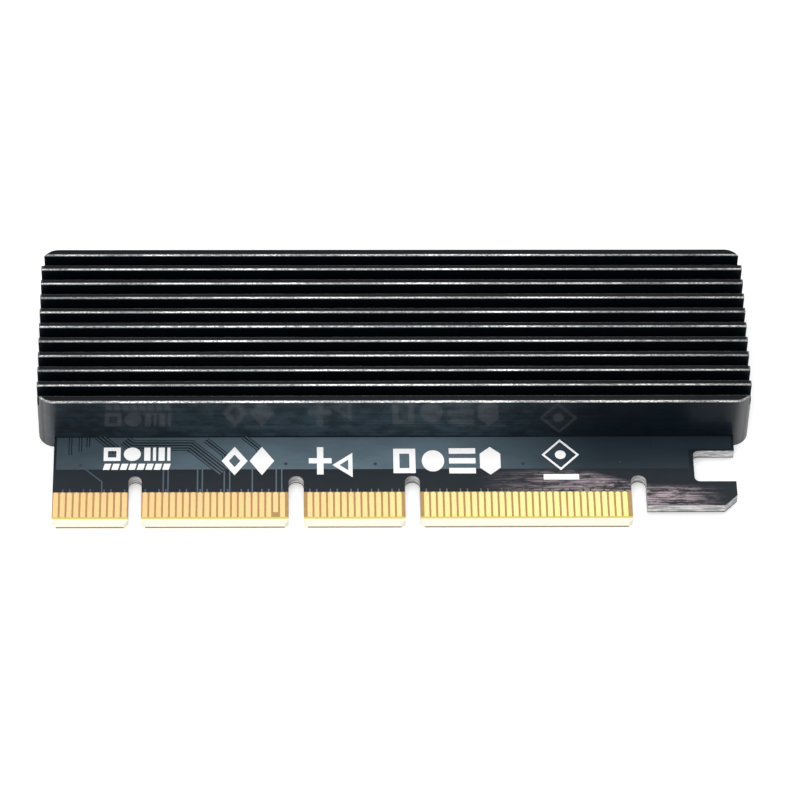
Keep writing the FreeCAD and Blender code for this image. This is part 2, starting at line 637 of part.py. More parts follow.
def make_socket():
    body = socket_body("module_socket")
    half = "(Sizes.socket_length / 2)"
    sketch = new_sketch(body, "socket_plan")
    draw_rectangle(sketch, "0", f"-{half}", "Sizes.socket_depth", half)
    pad(body, sketch, "socket_block", "Sizes.socket_height")

    # Mouth for the module's edge, split by the key rib.
    sketch = new_sketch(body, "mouth_outline", plane="YZ_Plane", offset=MOUTH_REAR)
    half_mouth = "(Sizes.mouth_length / 2)"
    key = "(Sizes.mouth_key_offset - Sizes.mouth_key_width / 2)"
    draw_rectangle(sketch, f"-{half_mouth}", "Sizes.mouth_floor", key, MOUTH_TOP)
    draw_rectangle(sketch, f"{key} + Sizes.mouth_key_width", "Sizes.mouth_floor",
                   half_mouth, MOUTH_TOP)
    pocket(body, sketch, "mouth", "Sizes.mouth_depth", upwards=True)

    # Step along the foot of the front face, where the lower contacts' feet come out.
    sketch = new_sketch(body, "foot_step_plan")
    half_step = "(Sizes.mouth_length / 2)"
    draw_rectangle(sketch, f"{LOWER_RISER} - {STRIP} - {PIN_GAP}", f"-{half_step}",
                   f"Sizes.socket_depth + {MARGIN}", half_step)
    pocket(body, sketch, "foot_step", f"{STRIP} + {PIN_GAP}", upwards=True)

    upper = [
        (f"-{MARGIN}", MOUTH_TOP), (f"{UPPER_END} + {PIN_GAP}", MOUTH_TOP),
        (f"{UPPER_END} + {PIN_GAP}", f"{UPPER_STRIP} + {STRIP} + {PIN_GAP}"),
        (f"-{MARGIN}", f"{UPPER_STRIP} + {STRIP} + {PIN_GAP}"),
    ]
    cut_channels(body, "upper", upper, FIRST_PIN, UPPER_SHORT_RUN_COUNT)
    riser_rear = f"{LOWER_RISER} - {STRIP} - {PIN_GAP}"
    lower = [
        (f"{LOWER_END} - {PIN_GAP}", f"{LOWER_STRIP} - {PIN_GAP}"),
        (riser_rear, f"{LOWER_STRIP} - {PIN_GAP}"),
        (riser_rear, f"{STRIP} + {PIN_GAP}"),
        (f"{LOWER_RISER} + {PIN_GAP}", f"{STRIP} + {PIN_GAP}"),
        (f"{LOWER_RISER} + {PIN_GAP}", "Sizes.mouth_floor"),
        (f"{LOWER_END} - {PIN_GAP}", "Sizes.mouth_floor"),
    ]
    cut_channels(body, "lower", lower, f"({FIRST_PIN} + Sizes.pin_pitch / 2)", LOWER_SHORT_RUN_COUNT)

    # Locating pegs that drop into the board.
    sketch = new_sketch(body, "peg_plan", offset="-Sizes.peg_length")
    for side in ("-", ""):
        draw_circle(sketch, PEG_X, f"{side}Sizes.peg_spread", "Sizes.peg_diameter")
    pad(body, sketch, "pegs", "Sizes.peg_length")
    return body


def row_runs(first_pin, short_count):
    """The two runs of a contact row, either side of the key rib: place of the first, and count."""
    after_key = f"({first_pin} + {LONG_RUN_COUNT + KEY_GAP_COUNT} * Sizes.pin_pitch)"
    return [("long", first_pin, LONG_RUN_COUNT), ("short", after_key, short_count)]


def cut_channels(body, name, corners, first_pin, short_count):
    width = "(Sizes.pin_width + 2 * Sizes.pin_gap)"
    for run, start, count in row_runs(first_pin, short_count):
        sketch = new_sketch(body, f"{name}_{run}_channel_profile", plane="XZ_Plane",
                            offset=f"-{start}")
        draw_polygon(sketch, corners)
        channel = pocket(body, sketch, f"{name}_{run}_channel", width, symmetric=True)
        pattern(body, channel, f"{name}_{run}_channels", "Y_Axis", "Sizes.pin_pitch", count)


def make_pins(label, corners, first_pin, short_count):
    """One row of spring contacts, each bent from strip and soldered to the board."""
    body = socket_body(label)
    for run, start, count in row_runs(first_pin, short_count):
        sketch = new_sketch(body, f"{label}_{run}_profile", plane="XZ_Plane", offset=f"-{start}")
        draw_polygon(sketch, corners)
        pin = pad(body, sketch, f"{label}_{run}_pin", "Sizes.pin_width")
        pin.Midplane = True
        pattern(body, pin, f"{label}_{run}_pins", "Y_Axis", "Sizes.pin_pitch", count)
    return body


def make_pin_rows():
    top = f"{UPPER_STRIP} + {STRIP}"
    riser = f"-{PIN_GAP} - {STRIP}"
    upper = [
        (f"{riser} - Sizes.pin_foot", "0"), (f"-{PIN_GAP}", "0"), (f"-{PIN_GAP}", UPPER_STRIP),
        (f"{UPPER_END} - Sizes.pin_bend", UPPER_STRIP),
        (UPPER_END, f"{UPPER_STRIP} - Sizes.pin_bump"), (UPPER_END, f"{top} - Sizes.pin_bump"),
        (f"{UPPER_END} - Sizes.pin_bend", top),
        (riser, top), (riser, STRIP), (f"{riser} - Sizes.pin_foot", STRIP),
    ]
    foot_end = "Sizes.socket_depth + Sizes.pin_foot"
    top = f"{LOWER_STRIP} + {STRIP}"
    riser = f"{LOWER_RISER} - {STRIP}"
    lower = [
        (riser, "0"), (foot_end, "0"), (foot_end, STRIP), (LOWER_RISER, STRIP),
        (LOWER_RISER, top), (f"{LOWER_END} + Sizes.pin_bend", top),
        (LOWER_END, f"{top} + Sizes.pin_bump"), (LOWER_END, f"{LOWER_STRIP} + Sizes.pin_bump"),
        (f"{LOWER_END} + Sizes.pin_bend", LOWER_STRIP), (riser, LOWER_STRIP),
    ]
    return [
        make_pins("upper_socket_pins", upper, FIRST_PIN, UPPER_SHORT_RUN_COUNT),
        make_pins("lower_socket_pins", lower, f"({FIRST_PIN} + Sizes.pin_pitch / 2)",
                  LOWER_SHORT_RUN_COUNT),
    ]


def make_tabs():
    """Two bent tabs that hold the socket's ends down on the board."""
    body = socket_body("socket_tabs")
    sheet_edge = "(Sizes.socket_length / 2)"
    outside = f"({sheet_edge} + Sizes.tab_sheet)"
    sketch = new_sketch(body, "tab_profile", plane="YZ_Plane", offset=PEG_X)
    for side in ("", "-"):
        draw_polygon(sketch, [
            (f"{side}{sheet_edge}", "0"),
            (f"{side}({outside} + Sizes.tab_foot - Sizes.tab_sheet)", "0"),
            (f"{side}({outside} + Sizes.tab_foot - Sizes.tab_sheet)", "Sizes.tab_sheet"),
            (f"{side}{outside}", "Sizes.tab_sheet"),
            (f"{side}{outside}", "Sizes.tab_height"),
            (f"{side}{sheet_edge}", "Sizes.tab_height"),
        ])
    tabs = pad(body, sketch, "tabs", "Sizes.tab_length")
    tabs.Midplane = True
    return body


# ---------------------------------------------------------------- fasteners


def cut_cross(body, name, face, upwards):
    """The cross recess in a screw head, sunk from the given height."""
    sketch = new_sketch(body, f"{name}_arm", offset=face)
    draw_rectangle(sketch, "-Sizes.recess_length / 2", "-Sizes.recess_width / 2",
                   "Sizes.recess_length / 2", "Sizes.recess_width / 2")
    pocket(body, sketch, name, "Sizes.recess_depth", upwards=upwards)
    sketch = new_sketch(body, f"{name}_second_arm", offset=face)
    draw_rectangle(sketch, "-Sizes.recess_width / 2", "-Sizes.recess_length / 2",
                   "Sizes.recess_width / 2", "Sizes.recess_length / 2")
    pocket(body, sketch, f"{name}_across", "Sizes.recess_depth", upwards=upwards)


def draw_screw(sketch, head, head_height, length, up):
    """Half profile of a screw whose shank leaves the head at Z = 0, upwards or downwards."""
    shank = f"{up}{length}"
    back = f"-{head_height}" if up == "" else head_height
    draw_polygon(sketch, [
        ("0", back), (f"{head} / 2", back), (f"{head} / 2", "0"),
        ("Sizes.screw_thread / 2", "0"), ("Sizes.screw_thread / 2", shank), ("0", shank),
    ])


def make_cover_screws():
    """Four thin-headed screws from under the board into the cover, each a separate solid."""
    body = doc.addObject("Part::Compound", "cover_screws")
    body.Label = "cover_screws"
    screws = []
    for number_of_screw, (x, y) in enumerate(
        [(x, y) for x in (f"-{SCREW_X}", SCREW_X) for y in (SCREW_FRONT, SCREW_BACK)], start=1
    ):
        screw = new_body(f"cover_screw_{number_of_screw}", x=x, y=y, z="Sizes.board_lift")
        sketch = new_sketch(screw, f"cover_screw_profile_{number_of_screw}", plane="XZ_Plane")
        draw_screw(sketch, "Sizes.screw_head", "Sizes.screw_head_height", "Sizes.screw_length", "")
        revolve(screw, sketch, f"cover_screw_turned_{number_of_screw}")
        cut_cross(screw, f"cover_screw_recess_{number_of_screw}", "-Sizes.screw_head_height", True)
        screws.append(screw)
    body.Links = screws
    return body


def make_spacer():
    """Threaded spacer that carries the free end of the module, with a neck through the board."""
    body = new_body("module_spacer", x=SPACER_X, y=BAY_MIDDLE, z=BOARD_TOP)
    neck_end = "-(Sizes.board_thickness - Sizes.neck_setback)"
    sketch = new_sketch(body, "spacer_profile", plane="XZ_Plane")
    bore = f"({THREAD_BORE} / 2)"
    draw_polygon(sketch, [
        (bore, neck_end), ("Sizes.spacer_neck / 2", neck_end), ("Sizes.spacer_neck / 2", "0"),
        ("Sizes.spacer_flange / 2", "0"), ("Sizes.spacer_flange / 2", "Sizes.spacer_height"),
        (bore, "Sizes.spacer_height"),
    ])
    revolve(body, sketch, "spacer_turned")
    return body


def make_module_screw():
    body = new_body("module_screw", x=SPACER_X, y=BAY_MIDDLE, z=f"{BOARD_TOP} + Sizes.spacer_height")
    sketch = new_sketch(body, "module_screw_profile", plane="XZ_Plane")
    draw_screw(sketch, "Sizes.module_screw_head", "Sizes.module_screw_head_height",
               "Sizes.module_screw_length", "-")
    revolve(body, sketch, "module_screw_turned")
    cut_cross(body, "module_screw_recess", "Sizes.module_screw_head_height", False)
    return body


# ---------------------------------------------------------------- pad and small parts


def make_pad():
    """Soft pad on the bay's ceiling that takes the module's heat into the cover."""
    body = new_body("thermal_pad", y=BAY_MIDDLE, z=f"{CEILING} - Sizes.pad_thickness")
    sketch = new_sketch(body, "thermal_pad_plan")
    draw_rectangle(sketch, "-Sizes.pad_length / 2", "-Sizes.pad_width / 2",
                   "Sizes.pad_length / 2", "Sizes.pad_width / 2")
    pad(body, sketch, "thermal_pad_sheet", "Sizes.pad_thickness")
    return body


def make_chips(label, ends_label, kind, count):
    """A column of chip parts: their bodies in one node, and their metal ends in another."""
    half_width = f"Sizes.{kind}_width / 2"
    half_length = f"Sizes.{kind}_length / 2"
    band_edge = f"({half_length} - Sizes.{kind}_band)"
    place = {"x": CHIP_X, "y": f"({BAY_MIDDLE} + Sizes.{kind}_start)", "z": BOARD_TOP}
    middle = new_body(label, **place)
    sketch = new_sketch(middle, f"{label}_plan")
    draw_rectangle(sketch, f"-{half_width}", f"-{band_edge}", half_width, band_edge)
    block = pad(middle, sketch, f"{label}_block", f"Sizes.{kind}_height")
    pattern(middle, block, f"{label}_column", "Y_Axis", f"Sizes.{kind}_pitch", count)
    ends = new_body(ends_label, **place)
    sketch = new_sketch(ends, f"{ends_label}_plan")
    draw_rectangle(sketch, f"-{half_width}", f"-{half_length}", half_width, f"-{band_edge}")
    draw_rectangle(sketch, f"-{half_width}", band_edge, half_width, half_length)
    block = pad(ends, sketch, f"{ends_label}_block", f"Sizes.{kind}_height")
    pattern(ends, block, f"{ends_label}_column", "Y_Axis", f"Sizes.{kind}_pitch", count)
    return [middle, ends]


# ---------------------------------------------------------------- build, check and write

parts = [make_cover(), make_board()]
parts += make_all_contacts()
parts += [make_socket()]
parts += make_pin_rows()
parts += [make_tabs(), make_spacer(), make_module_screw(), make_cover_screws(), make_pad()]
parts += make_chips("ceramic_capacitors", "capacitor_ends", "capacitor", CAPACITOR_COUNT)
parts += make_chips("chip_resistors", "resistor_ends", "resistor", RESISTOR_COUNT)
doc.recompute()

for item in doc.Objects:
    if {"Invalid", "Error"} & set(item.State):
        raise RuntimeError(f"{item.Label} did not build: {item.State}")
for part in parts:
    if part.Shape.isNull() or not part.Shape.isValid() or part.Shape.Volume <= 0:
        raise RuntimeError(f"{part.Label} has no sound shape")

os.makedirs("parts", exist_ok=True)
for part in parts:
    part.Shape.exportStep(f"parts/{part.Label}.step")
    print(part.Label, len(part.Shape.Solids), "solids", round(part.Shape.Volume, 2), "mm3")
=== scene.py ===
import json
import math

import bmesh
import bpy
from mathutils import Matrix, Quaternion, Vector

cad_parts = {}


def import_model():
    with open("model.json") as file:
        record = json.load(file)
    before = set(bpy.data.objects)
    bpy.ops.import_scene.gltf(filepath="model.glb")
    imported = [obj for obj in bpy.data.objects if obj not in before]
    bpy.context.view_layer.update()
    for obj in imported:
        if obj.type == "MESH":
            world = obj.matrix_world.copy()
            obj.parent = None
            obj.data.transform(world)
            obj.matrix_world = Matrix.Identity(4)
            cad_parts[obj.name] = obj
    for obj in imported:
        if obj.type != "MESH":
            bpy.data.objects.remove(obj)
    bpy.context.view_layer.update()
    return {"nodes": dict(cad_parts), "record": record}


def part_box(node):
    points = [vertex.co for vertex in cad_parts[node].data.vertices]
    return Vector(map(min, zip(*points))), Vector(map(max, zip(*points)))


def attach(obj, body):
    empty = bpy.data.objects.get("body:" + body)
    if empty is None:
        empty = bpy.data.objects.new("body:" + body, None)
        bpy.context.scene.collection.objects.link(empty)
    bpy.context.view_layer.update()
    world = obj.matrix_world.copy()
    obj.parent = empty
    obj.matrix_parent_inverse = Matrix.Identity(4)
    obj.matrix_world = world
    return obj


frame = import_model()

# The dress of an adapter card: finishes for every part of the model, and the fine work that lies on
# the board, which is copper under the solder mask, plated holes and white ink. Everything is in
# metres in the model's own frame: X along the contact edge, Y from the contact edge to the far face
# of the cover, Z up out of the fins.

MM = 0.001

BOARD_LOW, BOARD_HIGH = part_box("circuit_board")
COVER_LOW, COVER_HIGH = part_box("finned_cover")
CONTACT_LOW, CONTACT_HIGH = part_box("front_contacts_1")
LAST_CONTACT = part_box("front_contacts_4")[1]

FRONT_FACE = BOARD_HIGH.z
REAR_FACE = BOARD_LOW.z
EDGE = BOARD_LOW.y
FIN_TOP = COVER_HIGH.z
CONTACT_END = CONTACT_HIGH.y
BEVEL_END = CONTACT_LOW.y
HOOK_START = LAST_CONTACT.x + 1.2 * MM

# Heights above the board's face, in millimetres, from the lowest layer to the highest.
POUR = 0.02
GAP = 0.03
TRACK = 0.045
RING = 0.05
INK = 0.06


# ---------------------------------------------------------------- finishes


class Finish:
    """A surface finish made of shader nodes that read the piece's own coordinates."""

    def __init__(self, name, colour, roughness, metallic=0.0):
        self.material = bpy.data.materials.new(name)
        self.material.use_nodes = True
        self.nodes = self.material.node_tree.nodes
        self.links = self.material.node_tree.links
        self.shader = self.nodes["Principled BSDF"]
        self.set("Base Color", (*colour, 1.0))
        self.set("Roughness", roughness)
        self.set("Metallic", metallic)
        self.material.diffuse_color = (*colour, 1.0)
        self.place = self.nodes.new("ShaderNodeTexCoord").outputs["Object"]
        along = self.node("ShaderNodeSeparateXYZ", {0: self.place})
        self.x, self.y, self.z = along.outputs
        geometry = self.nodes.new("ShaderNodeNewGeometry")
        facing = self.node("ShaderNodeSeparateXYZ", {0: geometry.outputs["Normal"]})
        self.facing_x, self.facing_y, self.facing_z = facing.outputs

    def node(self, kind, inputs, **settings):
        made = self.nodes.new(kind)
        for key, value in settings.items():
            setattr(made, key, value)
        for socket, value in inputs.items():
            self.feed(made.inputs[socket], value)
        return made

    def feed(self, socket, value):
        if isinstance(value, bpy.types.NodeSocket):
            self.links.new(value, socket)
        else:
            socket.default_value = value

    def set(self, name, value):
        self.feed(self.shader.inputs[name], value)

    def math(self, operation, first, second=0.0):
        return self.node("ShaderNodeMath", {0: first, 1: second}, operation=operation).outputs[0]

    def size(self, value):
        return self.math("ABSOLUTE", value)

    def rise(self, value, low, high):
        """0 below low, 1 above high, and a smooth step between."""
        inputs = {"Value": value, "From Min": low, "From Max": high}
        return self.node("ShaderNodeMapRange", inputs, interpolation_type="SMOOTHSTEP").outputs[0]

    def within(self, value, low, high, soft):
        """1 between low and high, with soft steps at both."""
        up = self.rise(value, low - soft, low + soft)
        down = self.rise(value, high - soft, high + soft)
        return self.math("SUBTRACT", up, down)

    def times(self, *masks):
        """1 only where all of the masks are."""
        result = masks[0]
        for mask in masks[1:]:
            result = self.math("MULTIPLY", result, mask)
        return result

    def inverse(self, mask):
        return self.math("SUBTRACT", 1.0, mask)

    def grain(self, size, detail=3.0, roughness=0.55):
        """Noise whose grains are as long as size says along X, Y and Z, in millimetres."""
        scale = [1.0 / (length * MM) for length in size]
        mapping = self.node("ShaderNodeMapping", {"Vector": self.place, "Scale": scale})
        inputs = {"Vector": mapping.outputs[0], "Scale": 1.0, "Detail": detail,
                  "Roughness": roughness}
        return self.node("ShaderNodeTexNoise", inputs).outputs["Fac"]

    def cells(self, size):
        """Cells about as large as size says along X, Y and Z, in millimetres."""
        scale = [1.0 / (length * MM) for length in size]
        mapping = self.node("ShaderNodeMapping", {"Vector": self.place, "Scale": scale})
        return self.node("ShaderNodeTexVoronoi", {"Vector": mapping.outputs[0], "Scale": 1.0})

    def blend(self, mask, first, second):
        """The first colour where the mask is 0 and the second where it is 1."""
        made = self.nodes.new("ShaderNodeMix")
        made.data_type = "RGBA"
        self.feed(made.inputs[0], mask)
        for socket, colour in ((made.inputs[6], first), (made.inputs[7], second)):
            self.feed(socket, colour if isinstance(colour, bpy.types.NodeSocket) else (*colour, 1.0))
        return made.outputs[2]

    def between(self, mask, first, second):
        """A number that goes from first to second as the mask goes from 0 to 1."""
        inputs = {"Value": mask, "To Min": first, "To Max": second}
        return self.node("ShaderNodeMapRange", inputs).outputs[0]

    def relief(self, height, depth, under=None):
        """Bump of the given depth in millimetres, laid over another bump if one is given."""
        inputs = {"Height": height, "Distance": depth * MM, "Strength": 1.0}
        if under is not None:
            inputs["Normal"] = under
        return self.node("ShaderNodeBump", inputs).outputs[0]


def painted_light_middle(finish):
    """Painted light: 1 a little left of the card's middle, a half at the left end and a tenth at the
    hook.
    """
    left = finish.between(finish.rise(finish.x, -50.0 * MM, -16.0 * MM), 0.45, 1.0)
    right = finish.between(finish.rise(finish.x, 4.0 * MM, 32.0 * MM), 1.0, 0.1)
    return finish.times(left, right)


def wear_and_highlight_on_lips(finish, depth):
    """1 on the broken edges of the fins, with small gaps, and less towards the card's ends:
    bare-metal wear and a painted highlight.
    """
    across = finish.rise(finish.size(finish.facing_y), 0.35, 0.5)
    edge = finish.times(across, finish.within(depth, 0.07 * MM, 0.34 * MM, 0.03 * MM))
    # Painted light: the bright lips fade towards the card's ends.
    middle = finish.inverse(finish.rise(finish.size(finish.x), 18.0 * MM, 56.0 * MM))
    speckle = finish.rise(finish.grain((0.34, 0.25, 0.25), detail=4.0, roughness=0.75), 0.40, 0.60)
    stretch = finish.rise(finish.grain((8.0, 1.4, 2.5), detail=4.0), 0.38, 0.62)
    return finish.times(edge, finish.between(stretch, 0.5, 1.0), finish.between(speckle, 0.3, 1.0),
                        finish.between(middle, 0.6, 1.0))


def in_grooves(finish, depth):
    """1 on the faces inside the grooves, below their lips."""
    below = finish.rise(depth, 0.3 * MM, 0.5 * MM)
    behind = finish.rise(finish.y, COVER_LOW.y + 0.5 * MM, COVER_LOW.y + 0.6 * MM)
    beyond = finish.rise(finish.y, COVER_HIGH.y - 0.6 * MM, COVER_HIGH.y - 0.5 * MM)
    return finish.times(below, behind, finish.inverse(beyond))


def painted_light_and_bloom(finish, streaks):
    """1 where the black skin is palest: towards the middle as painted reflection, and in blotches
    and along the streaks as its own tone.
    """
    blotches = finish.grain((2.6, 1.6, 1.6), detail=4.0, roughness=0.6)
    return finish.times(painted_light_middle(finish),
                        finish.between(finish.rise(blotches, 0.34, 0.66), 0.5, 1.15),
                        finish.between(finish.rise(streaks, 0.35, 0.65), 0.6, 1.0))


def coat_weight(finish, deep):
    """How much clear gloss lies on top: most on the corners, least near the hook and in grooves."""
    near = finish.inverse(finish.rise(finish.y, COVER_LOW.y + 2.0 * MM, COVER_LOW.y + 3.0 * MM))
    hook_end = finish.times(near, finish.rise(finish.x, 26.0 * MM, 42.0 * MM),
                            finish.inverse(finish.rise(finish.x, 48.0 * MM, 51.0 * MM)))
    corners = finish.within(finish.size(finish.facing_x), 0.2, 0.9, 0.15)
    dull = finish.math("MAXIMUM", deep, finish.times(hook_end, 0.9))
    return finish.math("ADD", finish.times(finish.inverse(dull), 0.4), finish.times(corners, 0.5))


def black_anodised():
    """Extruded aluminium, anodised black, with the edges of its fins bright as wear and as painted
    highlight.
    """
    finish = Finish("black_anodised", (0.007, 0.009, 0.013), 0.4)
    streaks = finish.grain((60.0, 0.25, 0.25), detail=4.0)
    depth = finish.math("SUBTRACT", FIN_TOP, finish.z)
    # Bright fin lips: partly bare-metal wear, partly a painted highlight.
    lip_wear_and_highlight = wear_and_highlight_on_lips(finish, depth)
    # Painted shade: the flat tops and the faces inside the grooves are given a near-black colour.
    top = finish.rise(finish.facing_z, 0.6, 0.8)
    deep = finish.math("MAXIMUM", in_grooves(finish, depth), top)
    # Painted reflection: the skin is paler towards the card's middle; its blotches and streaks are
    # its own tone.
    skin = finish.blend(painted_light_and_bloom(finish, streaks), (0.001, 0.003, 0.006), (0.029, 0.047, 0.061))
    dark = finish.blend(deep, skin, (0.001, 0.0028, 0.0048))
    finish.set("Base Color", finish.blend(lip_wear_and_highlight, dark, (0.93, 0.93, 0.91)))
    finish.set("Metallic", lip_wear_and_highlight)
    finish.set("Roughness", finish.between(streaks, 0.34, 0.5))
    finish.set("Coat Weight", coat_weight(finish, deep))
    finish.set("Coat Roughness", 0.1)
    finish.set("Specular IOR Level", 0.1)
    lines = finish.relief(streaks, 0.010)
    finish.set("Normal", finish.relief(finish.grain((0.4, 0.4, 0.4), detail=2.0), 0.004, lines))
    return finish.material


def bare_resin(finish):
    """Resin with the weave of the glass cloth, paler where the lead-in bevel starts."""
    weave = finish.math("MULTIPLY", finish.grain((0.9, 0.12, 0.3), detail=2.0),
                        finish.grain((0.12, 0.9, 0.3), detail=2.0))
    resin = finish.blend(weave, (0.40, 0.25, 0.10), (0.58, 0.40, 0.17))
    start = finish.inverse(finish.rise(finish.y, BEVEL_END - 0.02 * MM, BEVEL_END + 0.08 * MM))
    return finish.blend(start, resin, (0.64, 0.55, 0.12))


def cut_edge(finish, fibres):
    """A cut edge, with the plies one above the other and a dark line at the foot."""
    plies = finish.grain((2.4, 2.4, 0.2), detail=2.0, roughness=0.7)
    cut = finish.blend(fibres, (0.10, 0.11, 0.12), (0.40, 0.40, 0.40))
    cut = finish.blend(finish.rise(plies, 0.46, 0.58), cut, (0.62, 0.60, 0.58))
    foot = finish.inverse(finish.rise(finish.z, REAR_FACE + 0.14 * MM, REAR_FACE + 0.24 * MM))
    return finish.blend(foot, cut, (0.035, 0.035, 0.038))


def bevel_with_painted_light_and_shadow(finish, fibres, side):
    """The bevel and the contact edge, fresh cut and pale and painted paler still as light, with a
    painted shadow line along the edge.
    """
    # Partly painted light: the cut fibre's pale cream is raised towards white.
    cream_and_painted_light = finish.blend(fibres, (0.76, 0.74, 0.60), (0.86, 0.85, 0.72))
    # Painted shadow: a dark line low on the contact edge's face.
    painted_shadow_line = finish.times(side, finish.rise(finish.size(finish.facing_y), 0.9, 0.98),
                       finish.within(finish.z, REAR_FACE + 0.30 * MM, REAR_FACE + 0.66 * MM,
                                     0.02 * MM))
    return finish.blend(painted_shadow_line, cream_and_painted_light, (0.20, 0.15, 0.09))


def mask_with_painted_glints(finish):
    """Dark mask with long pale streaks of painted reflection, thickest between the last mark and the
    hook.
    """
    cloud = finish.grain((9.0, 5.0, 5.0), detail=4.0)
    mask = finish.blend(cloud, (0.006, 0.010, 0.015), (0.013, 0.019, 0.026))
    # Painted reflection: long pale pinkish streaks of light on the mask.
    rub = finish.rise(finish.grain((9.0, 0.09, 1.0), detail=4.0, roughness=0.7), 0.42, 0.60)
    broken = finish.rise(finish.grain((2.6, 0.7, 1.0), detail=5.0, roughness=0.7), 0.36, 0.58)
    lower = finish.between(finish.rise(finish.x, 25.0 * MM, 39.0 * MM), 0.0, 3.0 * MM)
    above = finish.math("ADD", finish.y, lower)
    glint_band = finish.times(finish.rise(finish.x, 11.0 * MM, 32.0 * MM),
                           finish.inverse(finish.rise(finish.x, 40.0 * MM, 49.0 * MM)),
                           finish.rise(finish.facing_z, 0.5, 0.9),
                           finish.inverse(finish.rise(above, EDGE + 8.4 * MM, EDGE + 10.2 * MM)))
    haze = finish.between(broken, 0.04, 1.0)
    return finish.blend(finish.times(rub, haze, glint_band), mask, (0.66, 0.53, 0.57))


def board_laminate():
    """Glass-fibre board: mask on both faces, bare resin between the contacts, plies on the cuts."""
    finish = Finish("board_laminate", (0.02, 0.022, 0.028), 0.3)
    fibres = finish.grain((0.15, 0.15, 0.08), detail=4.0, roughness=0.7)
    face = finish.rise(finish.size(finish.facing_z), 0.97, 0.99)
    beyond = finish.rise(finish.y, CONTACT_END + 0.02 * MM, CONTACT_END + 0.08 * MM)
    on_hook = finish.rise(finish.x, HOOK_START, HOOK_START + 0.05 * MM)
    masked = finish.times(face, finish.math("MAXIMUM", beyond, on_hook))
    side = finish.inverse(finish.rise(finish.size(finish.facing_z), 0.3, 0.5))
    bevel = finish.times(
        finish.inverse(finish.rise(finish.y, BEVEL_END - 0.30 * MM, BEVEL_END - 0.18 * MM)),
        finish.inverse(on_hook),
    )
    colour = finish.blend(masked, bare_resin(finish), mask_with_painted_glints(finish))
    colour = finish.blend(side, colour, cut_edge(finish, fibres))
    colour = finish.blend(bevel, colour, bevel_with_painted_light_and_shadow(finish, fibres, side))
    finish.set("Base Color", colour)
    gloss = finish.between(finish.grain((3.0, 1.2, 1.0)), 0.3, 0.42)
    finish.set("Roughness", finish.between(masked, 0.6, gloss))
    finish.set("Specular IOR Level", 0.14)
    ripple = finish.relief(finish.grain((1.4, 1.0, 1.0), detail=3.0), 0.012)
    finish.set("Normal", finish.relief(fibres, 0.01, ripple))
    return finish.material


def masked_copper(name, low, high):
    """Copper under dark solder mask, from low to high: a cloudy tone of its own, and painted light
    that makes it paler towards the middle.
    """
    finish = Finish(name, low, 0.28)
    cloud = finish.grain((9.0, 3.0, 3.0), detail=5.0, roughness=0.65)
    # Painted light: the copper shows paler towards the card's middle, under its own cloudy tone.
    cloud_and_painted_light = finish.times(painted_light_middle(finish), finish.between(cloud, 0.5, 1.25))
    finish.set("Base Color", finish.blend(cloud_and_painted_light, low, high))
    finish.set("Roughness", finish.between(finish.grain((2.0, 0.8, 1.0)), 0.26, 0.4))
    finish.set("Specular IOR Level", 0.14)
    fine = finish.relief(finish.grain((0.5, 0.35, 0.5), detail=3.0), 0.008)
    finish.set("Normal", finish.relief(finish.grain((2.5, 1.5, 2.0)), 0.02, fine))
    return finish.material


def gold_contact():
    """Gold plated copper, peach to lemon along the row, rubbed along Y by the slot's springs."""
    finish = Finish("gold_contact", (0.95, 0.66, 0.33), 0.3, metallic=1.0)
    rubs = finish.grain((0.08, 3.5, 1.0), detail=4.0, roughness=0.65)
    tint = finish.grain((2.2, 9.0, 9.0), detail=2.0)
    to_right = finish.rise(finish.x, -30.0 * MM, 34.0 * MM)
    peach = finish.blend(tint, (0.62, 0.38, 0.17), (0.70, 0.44, 0.22))
    lemon = finish.blend(tint, (0.68, 0.53, 0.20), (0.76, 0.62, 0.29))
    colour = finish.blend(to_right, peach, lemon)
    dull = finish.rise(rubs, 0.62, 0.78)
    finish.set("Base Color", finish.blend(finish.times(dull, 0.5), colour, (0.42, 0.27, 0.11)))
    finish.set("Roughness", finish.between(rubs, 0.22, 0.42))
    finish.set("Normal", finish.relief(rubs, 0.006))
    return finish.material


def spring_contact():
    """Gold plated strip, with the lines that drawing it leaves along X."""
    finish = Finish("spring_contact", (0.85, 0.66, 0.36), 0.28, metallic=1.0)
    draw = finish.grain((2.0, 0.06, 0.06), detail=3.0)
    finish.set("Base Color", finish.blend(draw, (0.78, 0.58, 0.30), (0.92, 0.74, 0.44)))
    finish.set("Roughness", finish.between(draw, 0.2, 0.38))
    finish.set("Normal", finish.relief(draw, 0.004))
    return finish.material


def socket_plastic():
    """Glass-filled moulding, with a fine texture and slight mottling where it flowed."""
    finish = Finish("socket_plastic", (0.022, 0.022, 0.024), 0.5)
    flow = finish.grain((3.0, 6.0, 2.0), detail=4.0)
    sparks = finish.grain((0.09, 0.09, 0.09), detail=2.0)
    finish.set("Base Color", finish.blend(flow, (0.014, 0.014, 0.016), (0.034, 0.034, 0.036)))
    finish.set("Roughness", finish.between(sparks, 0.42, 0.62))
    finish.set("Normal", finish.relief(sparks, 0.012))
    return finish.material


def tinned_metal():
    """Tin, with brighter and duller patches as it froze."""
    finish = Finish("tinned_metal", (0.66, 0.66, 0.64), 0.35, metallic=1.0)
    patches = finish.grain((0.35, 0.35, 0.35), detail=4.0)
    finish.set("Base Color", finish.blend(patches, (0.52, 0.52, 0.51), (0.80, 0.80, 0.77)))
    finish.set("Roughness", finish.between(patches, 0.25, 0.5))
    finish.set("Normal", finish.relief(patches, 0.015))
    return finish.material


